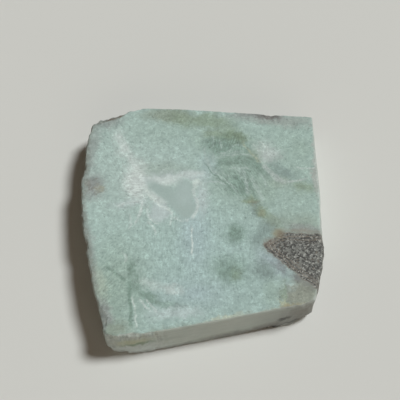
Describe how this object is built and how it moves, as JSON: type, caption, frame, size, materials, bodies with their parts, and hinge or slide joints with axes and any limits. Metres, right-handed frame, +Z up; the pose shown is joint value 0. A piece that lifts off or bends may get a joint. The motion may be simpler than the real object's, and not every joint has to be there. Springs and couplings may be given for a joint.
{
  "type": "larimar slab",
  "caption": "Flat sawn slab of blue-green larimar with a dark basalt corner, broken and rough along its left side, lying on its sawn underside.",
  "frame": {"origin": "centre of the slab's outline, on the plane it rests on", "axes": "+Z up through the slab's thickness, +Y from the sloping front cut to the back cut, +X from the broken left side to the sawn right side"},
  "size_m": [0.0834, 0.09, 0.014],
  "materials": {
    "larimar": "matte"
  },
  "bodies": {
    "root": {"larimar_slab": "larimar"}
  },
  "joints": []
}
